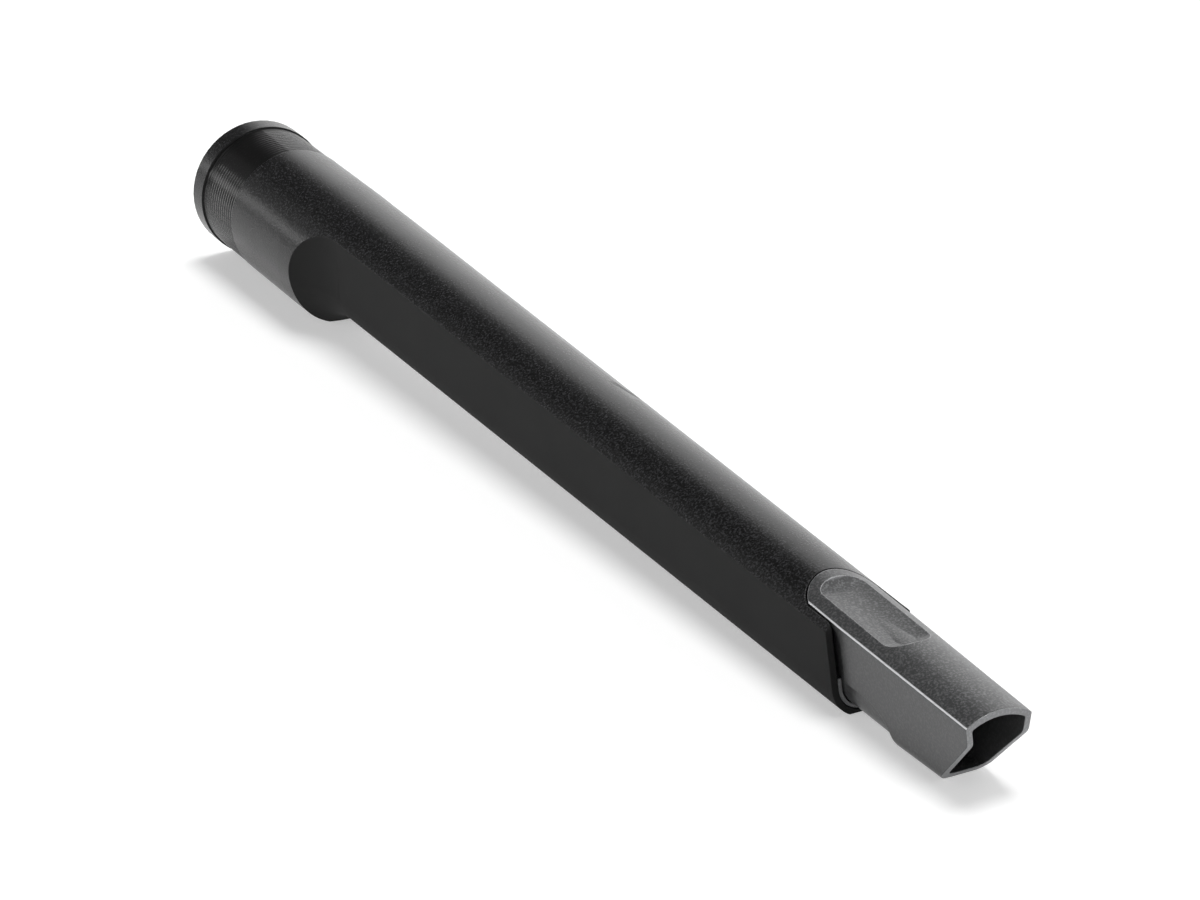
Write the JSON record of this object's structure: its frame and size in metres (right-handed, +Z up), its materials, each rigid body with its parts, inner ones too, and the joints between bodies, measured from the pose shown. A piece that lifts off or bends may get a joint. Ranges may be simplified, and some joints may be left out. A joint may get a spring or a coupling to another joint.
{
  "type": "vacuum crevice tool",
  "caption": "Pull-out vacuum crevice tool: a black tapered body with a round ribbed socket and flat scooped flanks, and a grey nozzle with a slanted nose that slides out of its mouth.",
  "frame": {"origin": "centre of the socket's open end, on the bore's axis", "axes": "+X along the bore from the socket to the nozzle's tip, +Z up through the thumb recess"},
  "size_m": [0.3964, 0.0396, 0.0396],
  "materials": {
    "black_plastic": "fine grain, satin",
    "grey_plastic": "fine grain, satin"
  },
  "bodies": {
    "body": {"outer_body": "black_plastic", "guide_bush": "grey_plastic"},
    "nozzle": {"nozzle": "grey_plastic"}
  },
  "joints": [
    {"name": "nozzle_slide", "type": "slide", "parent": "body", "child": "nozzle", "axis": [1, 0, 0], "range_m": [0, 0.2]}
  ]
}
